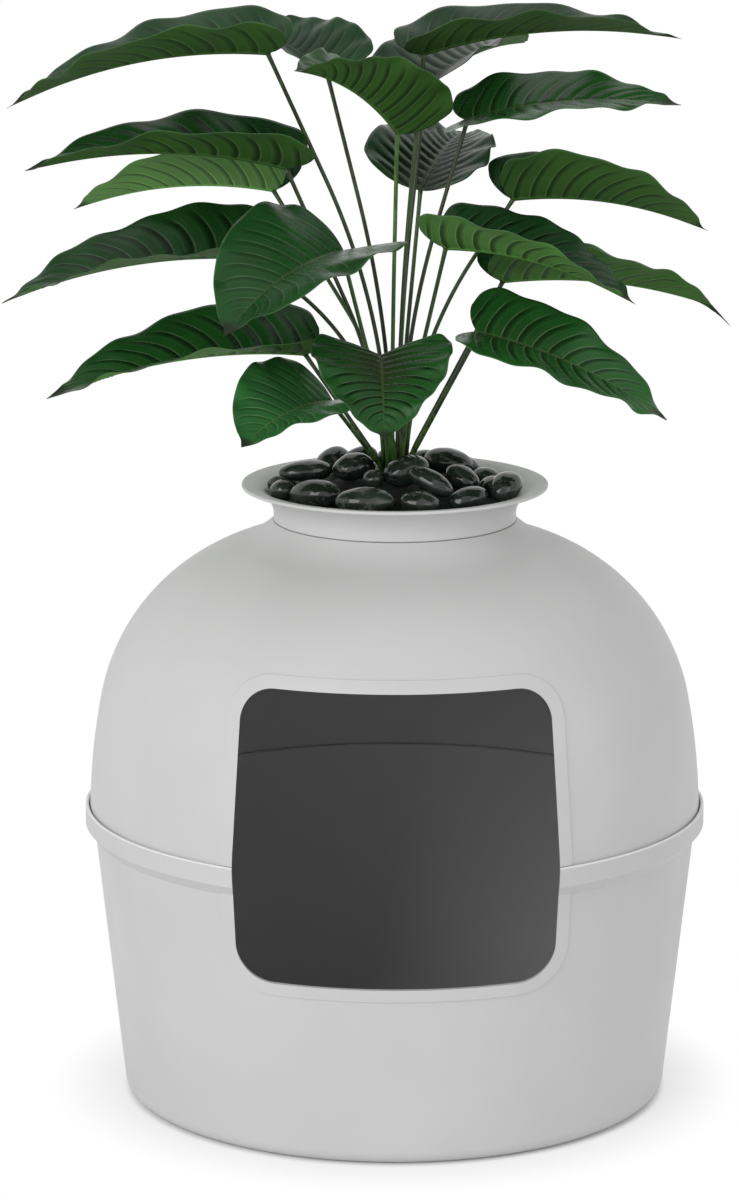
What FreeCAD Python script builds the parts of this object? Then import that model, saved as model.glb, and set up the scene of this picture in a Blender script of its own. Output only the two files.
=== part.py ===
import FreeCAD, Part
import math
import os

# Litter box enclosure in the shape of a planter: a tub, a dome with an entry, and a pot with pebbles and
# an artificial plant. It stands on z = 0 with its axis on Z, and its entry faces -Y.
# Lengths are in millimetres and angles in degrees.

# Tub: a tapered pan with a stepped lip that takes the dome's foot
LIP_RADIUS = 259.2
LIP_TOP = 247.0
LIP_WALL = 3.0
LIP_FACE = 16.0
LIP_UNDERSIDE = 9.5
LIP_CHAMFER = 0.9
SHELF_DROP = 16.0
SHELF_EDGE_ROUND = 1.0
TUB_TOP_RADIUS = 251.0
TUB_FOOT_RADIUS = 226.8
TUB_FOOT_ROUND = 12.0
TUB_WALL = 3.0

# Dome: an upright side arc, a shoulder arc and a hollow collar up to the crown that carries the pot,
# with their radii as shares of the dome's rise
DOME_SIDE_GAP = 0.8
SEAT_GAP = 0.3
DOME_WALL = 3.0
DOME_RISE = 254.7
DOME_SIDE_SHARE = 2.18
DOME_SIDE_SWEEP = 11.0
DOME_SHOULDER_SHARE = 0.677
DOME_COLLAR_SHARE = 0.295
CROWN_RADIUS = 101.2
CROWN_HOLE_RADIUS = 95.0

# Entry: an opening cut through dome and tub, from below to above the lip's top, with a raised border
ENTRY_RISE = 143.0
ENTRY_DROP = 95.0
ENTRY_TOP_HALF = 122.5
ENTRY_WAIST_HALF = 131.0
ENTRY_BOTTOM_HALF = 127.0
ENTRY_TOP_ROUND = 28.0
ENTRY_WAIST_ROUND = 160.0
ENTRY_BOTTOM_ROUND = 31.0
BORDER_WIDTH = 10.0
BORDER_RISE = 1.2

# Pot: a trumpet rim over a neck, and a bowl that hangs in the crown's hole
POT_RISE = 30.7
RIM_RADIUS = 127.0
RIM_LIFT = 3.4
RIM_EDGE_ROUND = 1.2
NECK_RADIUS = 100.6
FLARE_RADIUS = 22.0
POT_WALL = 3.0
POT_CLEARANCE = 1.2
BOWL_DEPTH = 81.0
BOWL_FOOT_RADIUS = 80.0
BOWL_FOOT_ROUND = 12.0
BOWL_SHOULDER = 3.0

# Foam block in the bowl, with a low mound for the pebbles and a bore for the plant
FOAM_CLEARANCE = 0.6
FOAM_FOOT_ROUND = 14.0
FOAM_EDGE_DROP = 18.0
FOAM_MOUND_RISE = 20.0
FOAM_MOUND_RADIUS = 45.0
FOAM_BORE_DEPTH = 79.0

# Plant: a trunk with two rings of sockets, stems and heart-shaped leaves
TRUNK_RADIUS = 13.0
TRUNK_CLEARANCE = 0.4
TRUNK_PROUD = 1.0
TRUNK_CONE_HEIGHT = 12.0
TRUNK_TOP_RADIUS = 7.6
STEM_RADIUS = 2.0
SOCKET_CLEARANCE = 0.15
INNER_RING_RADIUS = 4.9
INNER_RING_COUNT = 6
INNER_SOCKET_DEPTH = 16.0
INNER_BEND_RISE = 10.0
OUTER_RING_RADIUS = 10.0
OUTER_SOCKET_DEPTH = 20.0
OUTER_BEND_DROP = 4.0
STEM_BEND_MIN = 25.0
PLANT_REACH = 300.0
PLANT_HEIGHT = 400.0
LEAF_WIDTH = 132.0
LEAF_THICKNESS = 0.8
LEAF_KEEL = 4.0
LEAF_FLATTEN_SHARE = 0.3
LEAF_DROOP_ANGLE = 25.0
LEAF_FOLD_ANGLE = 40.0
LEAF_ROLL_ANGLE = 10.0

# One row per leaf: junction x, y, z and tip x, y, z (of reach, reach, height), width and stem bow
LEAF_SHARES = (
    (-0.34, 0.00, 0.89, -1.06, 0.05, 0.77, 0.95, 0.90),
    (-0.18, 0.12, 0.83, -0.42, 0.46, 0.90, 0.80, 0.90),
    (0.08, 0.14, 0.81, 0.37, 0.63, 0.86, 0.92, 0.90),
    (0.07, -0.03, 0.89, 0.78, 0.08, 0.91, 0.85, 0.90),
    (0.01, -0.07, 0.73, -0.27, -0.36, 0.88, 0.95, 0.90),
    (0.19, 0.03, 0.75, 0.77, -0.10, 0.79, 0.85, 0.90),
    (0.07, 0.19, 0.59, 0.20, 0.64, 0.67, 0.93, 0.80),
    (-0.29, -0.05, 0.66, -1.00, -0.14, 0.66, 0.95, 0.80),
    (-0.33, 0.20, 0.59, -0.90, 0.37, 0.53, 0.95, 0.80),
    (0.32, 0.12, 0.58, 0.87, 0.22, 0.50, 1.00, 0.95),
    (-0.37, 0.00, 0.47, -1.08, 0.03, 0.37, 1.00, 0.95),
    (-0.14, -0.23, 0.51, -0.45, -0.60, 0.38, 1.15, 0.60),
    (0.13, -0.17, 0.51, 0.64, -0.33, 0.41, 1.00, 0.60),
    (0.29, 0.02, 0.42, 0.93, 0.12, 0.34, 0.95, 0.35),
    (-0.24, -0.07, 0.28, -0.94, -0.27, 0.21, 1.00, 0.35),
    (-0.17, -0.21, 0.20, -0.41, -0.48, 0.14, 0.98, 0.30),
    (-0.04, -0.27, 0.30, -0.03, -0.52, 0.16, 0.92, 0.40),
    (0.22, -0.20, 0.34, 0.73, -0.30, 0.17, 0.88, 0.30),
)
# One row per leaf: droop from base to tip, fold of each half, roll about the midrib (of the angles above)
LEAF_BEND_SHARES = (
    (1.28, 0.9, 0.2), (1.0, 0.95, 0.6), (1.0, 0.75, 0.4), (1.12, 0.8, 0.0),
    (1.6, 1.3, 0.0), (1.0, 0.35, -1.5), (1.0, 0.85, -0.8), (1.2, 0.9, 0.2),
    (1.2, 1.1, -0.4), (1.2, 1.1, 0.8), (1.12, 0.75, 1.1), (1.4, 0.6, 1.0),
    (1.2, 0.9, 0.2), (1.12, 0.9, 0.4), (1.12, 0.725, 0.8), (1.4, 0.6, 1.0),
    (1.4, 0.55, 0.0), (1.0, 0.4, -1.8),
)
# Heart outline, from the stem's notch to the tip: place on the midrib, edge place along the leaf (of its
# length), edge place across (of half its width)
HEART_SHARES = (
    (0.0, -0.07, 0.52), (0.05, -0.05, 0.80), (0.12, 0.03, 0.95), (0.22, 0.15, 1.0), (0.38, 0.36, 0.93),
    (0.54, 0.56, 0.75), (0.70, 0.745, 0.51), (0.85, 0.885, 0.25), (1.0, 1.0, 0.012),
)
BLADE_SHARES = (-1.0, -0.62, -0.26, 0.0, 0.26, 0.62, 1.0)

# Pebbles on the foam and the flare, laid in this order. One row per pebble: bearing (of a full turn), turn
# (of a half turn), lean (of the angle), reach (of the bed), length, width and thickness (of the sizes)
BED_RADIUS = 100.0
PEBBLE_LENGTH = 46.0
PEBBLE_WIDTH = 33.0
PEBBLE_THICKNESS = 20.0
PEBBLE_LEAN_ANGLE = 20.0
PEBBLE_GAP = 0.6
PEBBLE_GRID = 0.5
PEBBLE_SIDES = ("right", "back", "left", "front")
PEBBLE_SHARES = (
    (0.493, 0.44, 0.00, 0.94, 0.43, 0.73, 0.90),
    (0.549, 0.67, 0.00, 0.96, 0.52, 0.73, 0.90),
    (0.607, -0.14, 0.15, 0.83, 1.02, 0.97, 1.20),
    (0.704, 0.02, 0.00, 0.84, 1.09, 0.97, 1.20),
    (0.789, 0.06, -0.30, 0.83, 0.76, 0.82, 1.05),
    (0.878, 0.18, 0.40, 0.83, 0.78, 0.79, 0.95),
    (0.943, 0.36, 0.80, 0.97, 0.80, 0.79, 1.15),
    (0.012, 0.44, 0.00, 0.82, 0.65, 0.73, 0.80),
    (0.084, 0.67, 0.00, 0.88, 0.61, 0.79, 0.95),
    (0.156, 0.83, 0.00, 0.94, 0.87, 0.91, 0.95),
    (0.233, 0.97, 0.00, 0.92, 0.87, 0.91, 1.00),
    (0.311, 0.11, 0.00, 0.91, 0.87, 0.91, 1.00),
    (0.387, 0.28, 0.00, 0.92, 0.87, 0.91, 0.80),
    (0.529, 0.04, 0.25, 0.76, 0.96, 0.82, 0.85),
    (0.383, 0.22, 1.00, 0.70, 0.70, 0.76, 1.00),
    (0.367, 0.10, 1.00, 0.45, 0.76, 0.67, 0.95),
    (0.544, 0.08, 0.60, 0.36, 0.76, 0.85, 1.15),
    (0.687, 0.00, 0.00, 0.47, 0.39, 0.55, 0.80),
    (0.790, 0.07, 0.70, 0.36, 0.87, 0.82, 1.25),
    (0.822, -0.12, -1.20, 0.67, 0.91, 0.64, 0.95),
    (0.945, -0.17, -1.30, 0.59, 0.70, 0.70, 0.95),
    (0.086, -0.08, -0.40, 0.52, 0.91, 0.91, 1.10),
    (0.189, 0.06, 0.20, 0.65, 0.70, 0.79, 1.00),
    (0.256, 0.00, 0.00, 0.52, 0.57, 0.73, 0.80),
)

SHELF_HEIGHT = LIP_TOP - SHELF_DROP
LIP_BOTTOM = LIP_TOP - LIP_FACE
TUB_TOP = LIP_BOTTOM - LIP_UNDERSIDE
TUB_TAPER = (TUB_TOP_RADIUS - TUB_FOOT_RADIUS) / TUB_TOP
DOME_FOOT = SHELF_HEIGHT + SEAT_GAP
DOME_FOOT_RADIUS = LIP_RADIUS - LIP_WALL - DOME_SIDE_GAP
DOME_SIDE_RADIUS = DOME_RISE * DOME_SIDE_SHARE
DOME_SHOULDER_RADIUS = DOME_RISE * DOME_SHOULDER_SHARE
DOME_COLLAR_RADIUS = DOME_RISE * DOME_COLLAR_SHARE
CROWN_TOP = DOME_FOOT + DOME_RISE
ENTRY_TOP = LIP_TOP + ENTRY_RISE
ENTRY_BOTTOM = LIP_TOP - ENTRY_DROP
POT_SEAT = CROWN_TOP + SEAT_GAP
RIM_TOP = POT_SEAT + POT_RISE
POT_BOTTOM = POT_SEAT - BOWL_DEPTH
BOWL_RADIUS = CROWN_HOLE_RADIUS - POT_CLEARANCE
NECK_INSIDE = NECK_RADIUS - POT_WALL
FLARE_INSIDE = FLARE_RADIUS + POT_WALL
FOAM_BOTTOM = POT_BOTTOM + POT_WALL + SEAT_GAP
FOAM_RADIUS = BOWL_RADIUS - POT_WALL - FOAM_CLEARANCE
FOAM_EDGE = RIM_TOP - FOAM_EDGE_DROP
FOAM_MOUND = FOAM_EDGE + FOAM_MOUND_RISE
TRUNK_BORE_FLOOR = FOAM_MOUND - FOAM_BORE_DEPTH
TRUNK_TOP = FOAM_MOUND + TRUNK_PROUD
TRUNK_SHOULDER = TRUNK_TOP - TRUNK_CONE_HEIGHT

ORIGIN = FreeCAD.Vector(0, 0, 0)
UP = FreeCAD.Vector(0, 0, 1)
BACK = FreeCAD.Vector(0, 1, 0)


def point(radius, height):
    """Point of a profile, in the XZ plane."""
    return FreeCAD.Vector(radius, 0, height)


def outline(corners):
    """Closed wire in the XZ plane through corners of x, z and corner radius."""
    cuts = []
    for index in range(len(corners)):
        following = corners[(index + 1) % len(corners)]
        x, z, radius = corners[index]
        here = point(x, z)
        back = (point(corners[index - 1][0], corners[index - 1][1]) - here).normalize()
        ahead = (point(following[0], following[1]) - here).normalize()
        if radius == 0:
            cuts.append((here, None, here))
            continue
        half = back.getAngle(ahead) / 2
        reach = radius / math.tan(half)
        inward = (back + ahead).normalize()
        middle = here + inward * (radius / math.sin(half) - radius)
        cuts.append((here + back * reach, middle, here + ahead * reach))
    edges = []
    for index in range(len(cuts)):
        start, middle, end = cuts[index]
        edges.append(Part.LineSegment(cuts[index - 1][2], start).toShape())
        if middle is not None:
            edges.append(Part.Arc(start, middle, end).toShape())
    return Part.Wire(edges)


def turned(wire):
    """Solid of revolution of a closed profile round the Z axis, with its seam at the back."""
    solid = Part.Face(wire).revolve(ORIGIN, UP, 360)
    solid.rotate(ORIGIN, UP, 90)
    return solid


def entry_prisms():
    """Prism of the opening, and prism of the opening with its border, both through the front wall."""
    corners = (
        (-ENTRY_TOP_HALF, ENTRY_TOP, ENTRY_TOP_ROUND),
        (ENTRY_TOP_HALF, ENTRY_TOP, ENTRY_TOP_ROUND),
        (ENTRY_WAIST_HALF, LIP_TOP, ENTRY_WAIST_ROUND),
        (ENTRY_BOTTOM_HALF, ENTRY_BOTTOM, ENTRY_BOTTOM_ROUND),
        (-ENTRY_BOTTOM_HALF, ENTRY_BOTTOM, ENTRY_BOTTOM_ROUND),
        (-ENTRY_WAIST_HALF, LIP_TOP, ENTRY_WAIST_ROUND),
    )
    opening = outline(corners)
    bordered = opening.makeOffset2D(BORDER_WIDTH)
    prisms = []
    for wire in (opening, bordered):
        face = Part.Face(wire)
        face.translate(BACK * -(LIP_RADIUS + BORDER_WIDTH))
        prisms.append(face.extrude(BACK * LIP_RADIUS))
    return prisms


def tub_radius(height):
    """Outer radius of the tub's tapered wall."""
    return TUB_FOOT_RADIUS + TUB_TAPER * height


def base_tub(opening, bordered):
    """Tapered pan with floor, stepped lip and the lower part of the entry and its border."""
    corners = (
        (0, 0, 0),
        (TUB_FOOT_RADIUS, 0, TUB_FOOT_ROUND),
        (TUB_TOP_RADIUS, TUB_TOP, 0),
        (LIP_RADIUS, LIP_BOTTOM, 0),
        (LIP_RADIUS, LIP_TOP - LIP_CHAMFER, 0),
        (LIP_RADIUS - LIP_CHAMFER, LIP_TOP, 0),
        (LIP_RADIUS - LIP_WALL + LIP_CHAMFER, LIP_TOP, 0),
        (LIP_RADIUS - LIP_WALL, LIP_TOP - LIP_CHAMFER, 0),
        (LIP_RADIUS - LIP_WALL, SHELF_HEIGHT, 0),
        (tub_radius(SHELF_HEIGHT) - TUB_WALL, SHELF_HEIGHT, SHELF_EDGE_ROUND),
        (tub_radius(TUB_WALL) - TUB_WALL, TUB_WALL, TUB_FOOT_ROUND - TUB_WALL),
        (0, TUB_WALL, 0),
    )
    pan = turned(outline(corners))
    low = ENTRY_BOTTOM - BORDER_WIDTH * 2
    band = turned(outline((
        (tub_radius(low) + BORDER_RISE, low, 0),
        (tub_radius(LIP_BOTTOM) + BORDER_RISE, LIP_BOTTOM, 0),
        (tub_radius(LIP_BOTTOM) - TUB_WALL / 2, LIP_BOTTOM, 0),
        (tub_radius(low) - TUB_WALL / 2, low, 0),
    )))
    return pan.fuse(band.common(bordered)).cut(opening).removeSplitter()


def arc_points(centre, radius, start, end):
    """Start, middle and end point of a profile's arc, from angles."""
    angles = (start, (start + end) / 2, end)
    return [centre + point(math.cos(angle), math.sin(angle)) * radius for angle in angles]


def dome_arcs(offset, foot=DOME_FOOT):
    """Arcs of the dome's side, shoulder and collar at an offset from its outer face, above a foot."""
    sweep = math.radians(DOME_SIDE_SWEEP)
    side = point(DOME_FOOT_RADIUS - DOME_SIDE_RADIUS, DOME_FOOT)
    step = DOME_SIDE_RADIUS - DOME_SHOULDER_RADIUS
    shoulder = side + point(math.cos(sweep), math.sin(sweep)) * step
    away = point(CROWN_RADIUS, CROWN_TOP) - shoulder
    apart = DOME_SHOULDER_RADIUS + DOME_COLLAR_RADIUS
    spread = math.acos((apart ** 2 + away.Length ** 2 - DOME_COLLAR_RADIUS ** 2) / (2 * apart * away.Length))
    turn = math.atan2(away.z, away.x) - spread
    collar = shoulder + point(math.cos(turn), math.sin(turn)) * apart
    collar_radius = DOME_COLLAR_RADIUS - offset
    collar_end = math.pi + math.asin((collar.z - CROWN_TOP - offset) / collar_radius)
    return [
        arc_points(side, DOME_SIDE_RADIUS + offset, math.asin((foot - DOME_FOOT) / DOME_SIDE_RADIUS), sweep),
        arc_points(shoulder, DOME_SHOULDER_RADIUS + offset, sweep, turn),
        arc_points(collar, collar_radius, turn + math.pi, collar_end),
    ]


def dome_ring(outer, inner, path):
    """Solid of revolution between two rows of arcs that a path joins at their upper ends."""
    edges = [Part.Arc(*arc).toShape() for arc in outer + inner]
    path = [outer[-1][-1]] + path + [inner[-1][-1]]
    edges += [Part.LineSegment(a, b).toShape() for a, b in zip(path, path[1:])]
    edges.append(Part.LineSegment(inner[0][0], outer[0][0]).toShape())
    return turned(Part.Wire(Part.__sortEdges__(edges)))


def dome_cover(opening, bordered):
    """Shell of the dome with its crown seat, hole and the upper part of the entry and its border."""
    seat = [point(CROWN_HOLE_RADIUS, CROWN_TOP), point(CROWN_HOLE_RADIUS, CROWN_TOP - DOME_WALL)]
    shell = dome_ring(dome_arcs(0), dome_arcs(-DOME_WALL), seat)
    foot = LIP_TOP + SEAT_GAP
    band = dome_ring(dome_arcs(BORDER_RISE, foot)[:2], dome_arcs(-DOME_WALL / 2, foot)[:2], [])
    return shell.fuse(band.common(bordered)).cut(opening).removeSplitter()


def planter_pot():
    """Trumpet rim and neck over a tapered bowl, hollow and open at the top."""
    rim_under = RIM_TOP - POT_WALL
    corners = (
        (0, POT_BOTTOM, 0),
        (BOWL_FOOT_RADIUS, POT_BOTTOM, BOWL_FOOT_ROUND),
        (BOWL_RADIUS, POT_SEAT, 0),
        (NECK_RADIUS, POT_SEAT, RIM_EDGE_ROUND),
        (NECK_RADIUS, rim_under - RIM_LIFT, FLARE_RADIUS),
        (RIM_RADIUS, rim_under, RIM_EDGE_ROUND),
        (RIM_RADIUS, RIM_TOP, RIM_EDGE_ROUND),
        (NECK_INSIDE, RIM_TOP - RIM_LIFT, FLARE_INSIDE),
        (NECK_INSIDE, POT_SEAT + BOWL_SHOULDER, 0),
        (BOWL_RADIUS - POT_WALL, POT_SEAT, 0),
        (BOWL_FOOT_RADIUS - POT_WALL, POT_BOTTOM + POT_WALL, BOWL_FOOT_ROUND - POT_WALL),
        (0, POT_BOTTOM + POT_WALL, 0),
    )
    return turned(outline(corners))


def mound_height(reach):
    """Height of the foam's top at a distance from the axis."""
    slope = (FOAM_MOUND - FOAM_EDGE) / (FOAM_RADIUS - FOAM_MOUND_RADIUS)
    return FOAM_MOUND - slope * max(reach - FOAM_MOUND_RADIUS, 0)


def foam_block():
    """Foam plug of the bowl, with a mounded top and a blind bore for the trunk."""
    foot = BOWL_FOOT_RADIUS - POT_WALL - FOAM_CLEARANCE
    bore = TRUNK_RADIUS + TRUNK_CLEARANCE
    corners = (
        (0, FOAM_BOTTOM, 0),
        (foot, FOAM_BOTTOM, FOAM_FOOT_ROUND),
        (FOAM_RADIUS, POT_SEAT, 0),
        (FOAM_RADIUS, FOAM_EDGE, 0),
        (FOAM_MOUND_RADIUS, FOAM_MOUND, 0),
        (bore, FOAM_MOUND, 0),
        (bore, TRUNK_BORE_FLOOR, 0),
        (0, TRUNK_BORE_FLOOR, 0),
    )
    return turned(outline(corners))


def flare_height(reach):
    """Height of the pot's inner flare at a distance from the axis."""
    tilt = math.atan2(RIM_LIFT, RIM_RADIUS - NECK_INSIDE)
    drop = FLARE_INSIDE / math.tan((math.pi / 2 + tilt) / 2)
    across = min(max(NECK_INSIDE + FLARE_INSIDE - reach, 0), FLARE_INSIDE)
    return RIM_TOP - RIM_LIFT - drop + math.sqrt(FLARE_INSIDE ** 2 - across ** 2)


def bed_height(reach):
    """Height of what the pebbles lie on at a distance from the axis."""
    if reach > NECK_INSIDE:
        return flare_height(reach)
    return mound_height(min(reach, FOAM_RADIUS))


def stone_heights(half, turn, lean, east, north):
    """Under and upper height of a tilted ellipsoid over a point of its footprint, from its centre."""
    turn_cos, turn_sin = math.cos(turn), math.sin(turn)
    along = east * turn_cos + north * turn_sin
    across = north * turn_cos - east * turn_sin
    lean_cos, lean_sin = math.cos(lean), math.sin(lean)
    steep = (lean_sin / half[0]) ** 2 + (lean_cos / half[2]) ** 2
    skew = along * lean_cos * lean_sin * (1 / half[0] ** 2 - 1 / half[2] ** 2)
    rest = along ** 2 * ((lean_cos / half[0]) ** 2 + (lean_sin / half[2]) ** 2) + (across / half[1]) ** 2 - 1
    inside = skew ** 2 - steep * rest
    if inside < 0:
        return None
    return (-skew - math.sqrt(inside)) / steep, (-skew + math.sqrt(inside)) / steep


def footprint(place, half, turn, lean):
    """Cells under a stone, each with its distance from the axis and the stone's heights there."""
    cells = []
    span = int(max(half) / PEBBLE_GRID) + 1
    centre = (round(place[0] / PEBBLE_GRID), round(place[1] / PEBBLE_GRID))
    for i in range(centre[0] - span, centre[0] + span + 1):
        for j in range(centre[1] - span, centre[1] + span + 1):
            heights = stone_heights(half, turn, lean, i * PEBBLE_GRID - place[0], j * PEBBLE_GRID - place[1])
            if heights:
                cells.append(((i, j), math.hypot(i, j) * PEBBLE_GRID, heights))
    return cells


def laid_pebbles():
    """Pebbles in place: each is dropped on the bed and on the stones laid before it."""
    stones = []
    laid = {}
    for bearing, turn, lean, reach, length, width, thickness in PEBBLE_SHARES:
        side = PEBBLE_SIDES[round(bearing * len(PEBBLE_SIDES)) % len(PEBBLE_SIDES)]
        half = (PEBBLE_LENGTH * length / 2, PEBBLE_WIDTH * width / 2, PEBBLE_THICKNESS * thickness / 2)
        angle = 2 * math.pi * bearing
        place = (math.cos(angle) * BED_RADIUS * reach, math.sin(angle) * BED_RADIUS * reach)
        turn, lean = math.pi * turn, math.radians(PEBBLE_LEAN_ANGLE * lean)
        cells = footprint(place, half, turn, lean)
        height = max(max(laid.get(cell, 0), bed_height(away)) - low for cell, away, (low, high) in cells)
        height += PEBBLE_GAP
        for cell, away, (low, high) in cells:
            laid[cell] = max(laid.get(cell, 0), height + high)
        stones.append((side, half, turn, lean, FreeCAD.Vector(place[0], place[1], height)))
    return stones


def pebbles():
    """Pebble groups, one for each side of the pot."""
    groups = {}
    for side, half, turn, lean, centre in laid_pebbles():
        matrix = FreeCAD.Matrix()
        matrix.scale(half[0], half[1], half[2])
        stone = Part.makeSphere(1).transformGeometry(matrix)
        stone.rotate(ORIGIN, BACK, -math.degrees(lean))
        stone.rotate(ORIGIN, UP, math.degrees(turn))
        stone.translate(centre)
        groups.setdefault("pebbles_" + side, []).append(stone)
    return {name: Part.makeCompound(stones) for name, stones in groups.items()}


def leaf_bearing(index):
    """Direction of a leaf's junction from the axis."""
    return math.atan2(LEAF_SHARES[index][1], LEAF_SHARES[index][0]) % (2 * math.pi)


def socket_place(index):
    """Socket of a stem: its centre on the plan, its floor and the height where the stem starts to bend.

    The first stems stand in the inner ring, and each ring is in the order of its leaves' bearings.
    """
    if index < INNER_RING_COUNT:
        ring = range(INNER_RING_COUNT)
        radius, depth, bend = INNER_RING_RADIUS, INNER_SOCKET_DEPTH, INNER_BEND_RISE
    else:
        ring = range(INNER_RING_COUNT, len(LEAF_SHARES))
        radius, depth, bend = OUTER_RING_RADIUS, OUTER_SOCKET_DEPTH, -OUTER_BEND_DROP
    angle = 2 * math.pi * sorted(ring, key=leaf_bearing).index(index) / len(ring)
    floor = FreeCAD.Vector(radius * math.cos(angle), radius * math.sin(angle), TRUNK_TOP - depth)
    return floor, TRUNK_TOP + bend


def plant_trunk():
    """Trunk with a conical shoulder and one blind socket per stem."""
    foot = TRUNK_BORE_FLOOR + SEAT_GAP
    trunk = turned(outline((
        (0, foot, 0),
        (TRUNK_RADIUS, foot, 0),
        (TRUNK_RADIUS, TRUNK_SHOULDER, 0),
        (TRUNK_TOP_RADIUS, TRUNK_TOP, 0),
        (0, TRUNK_TOP, 0),
    )))
    for index in range(len(LEAF_SHARES)):
        floor, bend = socket_place(index)
        trunk = trunk.cut(Part.makeCylinder(STEM_RADIUS + SOCKET_CLEARANCE, TRUNK_TOP - floor.z, floor))
    return trunk


class Leaf:
    """Frame of one leaf: its midrib is an arc that droops from the junction to the tip."""

    def __init__(self, index):
        shares = LEAF_SHARES[index]
        droop, fold, roll = LEAF_BEND_SHARES[index]
        self.base = self.placed(shares[0], shares[1], shares[2])
        span = self.placed(shares[3], shares[4], shares[5]) - self.base
        run = math.hypot(span.x, span.y)
        self.head = FreeCAD.Vector(span.x / run, span.y / run, 0)
        self.sweep = math.radians(LEAF_DROOP_ANGLE * droop)
        self.fold = math.radians(LEAF_FOLD_ANGLE * fold)
        self.roll = math.radians(LEAF_ROLL_ANGLE * roll)
        self.start = math.atan2(span.z, run) + self.sweep / 2
        self.length = span.Length * (self.sweep / 2) / math.sin(self.sweep / 2)
        self.half = LEAF_WIDTH * shares[6] / 2
        self.bow = shares[7]

    def placed(self, x_share, y_share, z_share):
        """Point at shares of the plant's reach and height, over the rim."""
        return FreeCAD.Vector(PLANT_REACH * x_share, PLANT_REACH * y_share, RIM_TOP + PLANT_HEIGHT * z_share)

    def midrib(self, place):
        """Point of the midrib with its sideways and upward directions: 0 is the stem and 1 the tip."""
        pitch = self.start - self.sweep * max(place, 0)
        radius = self.length / self.sweep
        along = radius * (math.sin(self.start) - math.sin(pitch))
        up = radius * (math.cos(pitch) - math.cos(self.start))
        if place < 0:
            along = self.length * place * math.cos(pitch)
            up = self.length * place * math.sin(pitch)
        tangent = self.head * math.cos(pitch) + UP * math.sin(pitch)
        normal = UP * math.cos(pitch) - self.head * math.sin(pitch)
        side = tangent.cross(normal)
        spot = self.base + self.head * along + UP * up
        lean_cos, lean_sin = math.cos(self.roll), math.sin(self.roll)
        return spot, side * lean_cos + normal * lean_sin, normal * lean_cos - side * lean_sin

    def surface(self, row, across):
        """Point of the blade's underside on a row of the heart, across from -1 to 1."""
        place, edge_place, edge_share = row
        bow = abs(across)
        if place == 0:
            bow = 1 - (1 - bow) ** 2
        along = place + (edge_place - place) * bow
        out = edge_share * self.half * across
        spot, side, normal = self.midrib(along)
        fold = self.fold * (1 - LEAF_FLATTEN_SHARE * max(along, 0))
        depth = math.hypot(out, LEAF_KEEL) - LEAF_KEEL
        lift = math.sin(fold) * depth * (1 - LEAF_FLATTEN_SHARE * abs(out) / self.half / 2)
        return spot + side * (math.cos(fold) * out) + normal * lift

    def blade(self):
        """Thin solid of the leaf: its folded underside, thickened along its mean direction."""
        rows = [[self.surface(row, across) for across in BLADE_SHARES] for row in HEART_SHARES]
        sheet = Part.BSplineSurface()
        sheet.interpolate(rows)
        spot, side, normal = self.midrib(0)
        solid = sheet.toShape().extrude(normal * LEAF_THICKNESS)
        if solid.Volume < 0:
            solid.reverse()
        return solid


def stem(index, leaf):
    """Round stem that stands in its socket, bends over in an arc and ends under the leaf's notch."""
    floor, bend_height = socket_place(index)
    spot, side, normal = leaf.midrib(0)
    along = normal.cross(side)
    heading = leaf.head
    for attempt in range(3):
        tilt = heading.getAngle(normal)
        forward = along * (STEM_RADIUS * math.cos(tilt))
        end = leaf.base + forward - normal * (SEAT_GAP + STEM_RADIUS * math.sin(tilt))
        flat = FreeCAD.Vector(end.x - floor.x, end.y - floor.y, 0)
        reach, rise = flat.Length, end.z - bend_height
        radius = max(STEM_BEND_MIN, leaf.bow * (reach ** 2 + rise ** 2) / (2 * reach))
        short = reach - radius
        bend = math.acos(-radius / math.hypot(short, rise)) - math.atan2(rise, short)
        outward = flat.normalize()
        heading = outward * math.sin(bend) + UP * math.cos(bend)
    foot = floor + UP * SEAT_GAP
    start = FreeCAD.Vector(floor.x, floor.y, bend_height)

    def arc(angle):
        return start + outward * (radius * (1 - math.cos(angle))) + UP * (radius * math.sin(angle))

    path = Part.Wire([
        Part.LineSegment(foot, start).toShape(),
        Part.Arc(start, arc(bend / 2), arc(bend)).toShape(),
        Part.LineSegment(arc(bend), end).toShape(),
    ])
    ring = Part.Wire(Part.makeCircle(STEM_RADIUS, foot, UP))
    return path.makePipeShell([ring], True, False)


def main():
    opening, bordered = entry_prisms()
    shapes = {
        "base_tub": base_tub(opening, bordered),
        "dome_cover": dome_cover(opening, bordered),
        "planter_pot": planter_pot(),
        "foam_block": foam_block(),
        "plant_trunk": plant_trunk(),
    }
    shapes.update(pebbles())
    for index in range(len(LEAF_SHARES)):
        leaf = Leaf(index)
        number = "%02d" % (index + 1)
        shapes["leaf_" + number] = leaf.blade()
        shapes["stem_" + number] = stem(index, leaf)
    os.makedirs("parts", exist_ok=True)
    for name, shape in shapes.items():
        shape.exportStep("parts/" + name + ".step")


main()
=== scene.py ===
"""Litter box enclosure in the shape of a planter: moulded shells, pebbles, artificial plant, studio stage."""
import math

import bmesh
import bpy
import numpy as np
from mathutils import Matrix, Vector, noise


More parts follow.
